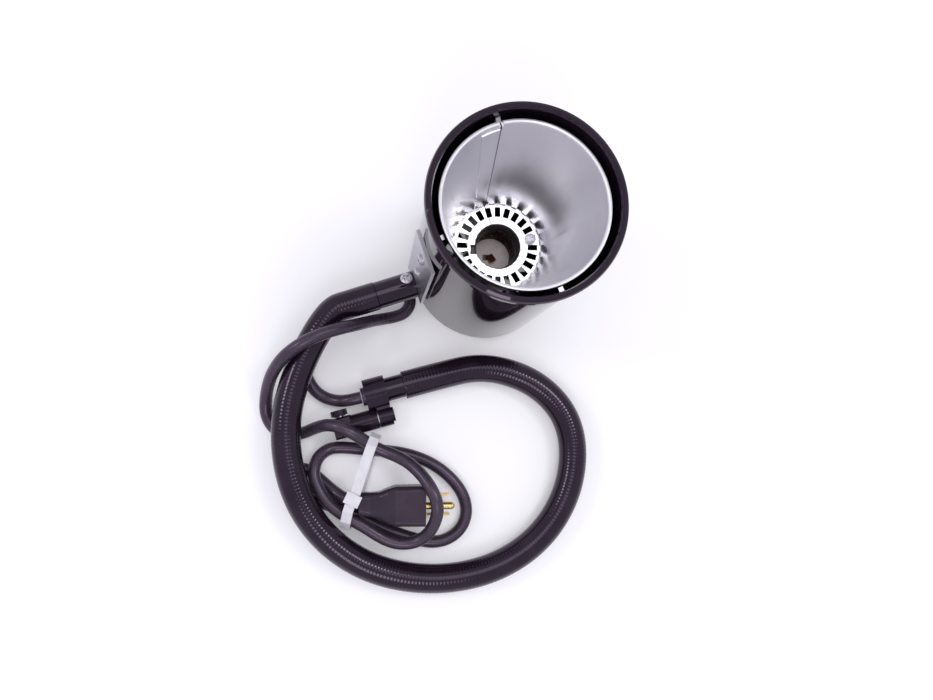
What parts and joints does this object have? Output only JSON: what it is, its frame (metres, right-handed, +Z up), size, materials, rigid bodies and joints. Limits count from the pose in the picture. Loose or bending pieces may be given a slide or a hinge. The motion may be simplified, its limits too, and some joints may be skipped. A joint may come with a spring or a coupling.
{
  "type": "flexible_arm_lamp",
  "caption": "Flexible-arm task lamp: deep black shade with aluminium reflector and lampholder, ribbed gooseneck, swivelling post clamp, and a tied supply cord with plug.",
  "frame": {"origin": "Centre of the flat ring that the shade's back stands on, on the table.", "axes": "Z points up out of the shade's mouth along its axis, X to the right and Y away from the viewer in the picture."},
  "size_m": [0.2215, 0.2734, 0.157],
  "materials": {
    "black_enamel": "gloss",
    "satin_aluminium": "satin",
    "zinc_plate": "bright zinc plate",
    "black_phenolic": "semi-matt",
    "aged_brass": "dull",
    "fibre_board": "matt",
    "copper_tongue": "satin",
    "lead_sleeving": "matt",
    "black_vinyl": "gloss",
    "hose_steel": "satin",
    "cord_rubber": "satin",
    "black_moulding": "semi-gloss",
    "plug_vinyl": "satin",
    "plug_brass": "bright",
    "clear_nylon": "translucent"
  },
  "bodies": {
    "base_and_arm": {"gooseneck_sleeve": "black_vinyl", "gooseneck_hose": "hose_steel", "arm_cable": "cord_rubber", "base_ferrule": "black_enamel", "elbow_body": "black_moulding", "cord_bushing": "cord_rubber", "swivel_pin": "black_enamel", "swivel_washer": "hose_steel", "power_cord": "cord_rubber", "cord_hank": "cord_rubber", "plug_body": "plug_vinyl", "plug_blades": "plug_brass", "plug_ground_pin": "plug_brass", "cable_tie_strap": "clear_nylon", "cable_tie_head": "clear_nylon"},
    "neck_link": {"neck_link_sleeve": "black_vinyl", "neck_link_hose": "hose_steel"},
    "lamp_head": {"shade_shell": "black_enamel", "reflector": "satin_aluminium", "reflector_clips": "zinc_plate", "vent_ring": "satin_aluminium", "vent_ring_screw": "zinc_plate", "socket_body": "black_phenolic", "socket_screw_shell": "aged_brass", "socket_insulator": "fibre_board", "socket_centre_contact": "copper_tongue", "socket_bracket": "zinc_plate", "bracket_foot_screws": "zinc_plate", "socket_base_screw": "zinc_plate", "arm_bracket_plate": "zinc_plate", "bracket_screws": "zinc_plate", "head_ferrule": "black_enamel", "ferrule_screw": "zinc_plate", "head_nipple": "aged_brass", "nipple_locknut": "zinc_plate", "socket_leads": "lead_sleeving"},
    "post_clamp": {"swivel_barrel": "black_moulding", "clamp_block": "black_moulding"},
    "clamp_screw": {"thumbscrew_shank": "hose_steel"},
    "clamp_knob": {"thumbscrew_head": "black_moulding"}
  },
  "joints": [
    {"name": "neck_yaw", "type": "hinge", "parent": "base_and_arm", "child": "neck_link", "pos_m": [-0.08751, -0.03013, 0.025], "axis": [0, 0, 1], "range_deg": [0, 20]},
    {"name": "neck_pitch", "type": "hinge", "parent": "neck_link", "child": "lamp_head", "pos_m": [-0.079, -0.0272, 0.025], "axis": [0.3256, -0.9455, 0], "range_deg": [0, 25]},
    {"name": "clamp_swivel", "type": "hinge", "parent": "base_and_arm", "child": "post_clamp", "pos_m": [-0.07658, -0.10708, 0.008], "axis": [0.9632, 0.2689, 0], "range_deg": [0, 30]},
    {"name": "thumbscrew_travel", "type": "slide", "parent": "post_clamp", "child": "clamp_screw", "axis": [-0.2689, 0.9632, 0], "range_m": [0, 0.001]},
    {"name": "thumbscrew_turn", "type": "hinge", "parent": "clamp_screw", "child": "clamp_knob", "pos_m": [-0.0976, -0.10485, 0.008], "axis": [-0.2689, 0.9632, 0], "range_deg": [0, 360]}
  ],
  "couplings": [
    {"joint": "thumbscrew_turn", "follows": "thumbscrew_travel", "rad_per_m": 6283.2}
  ]
}
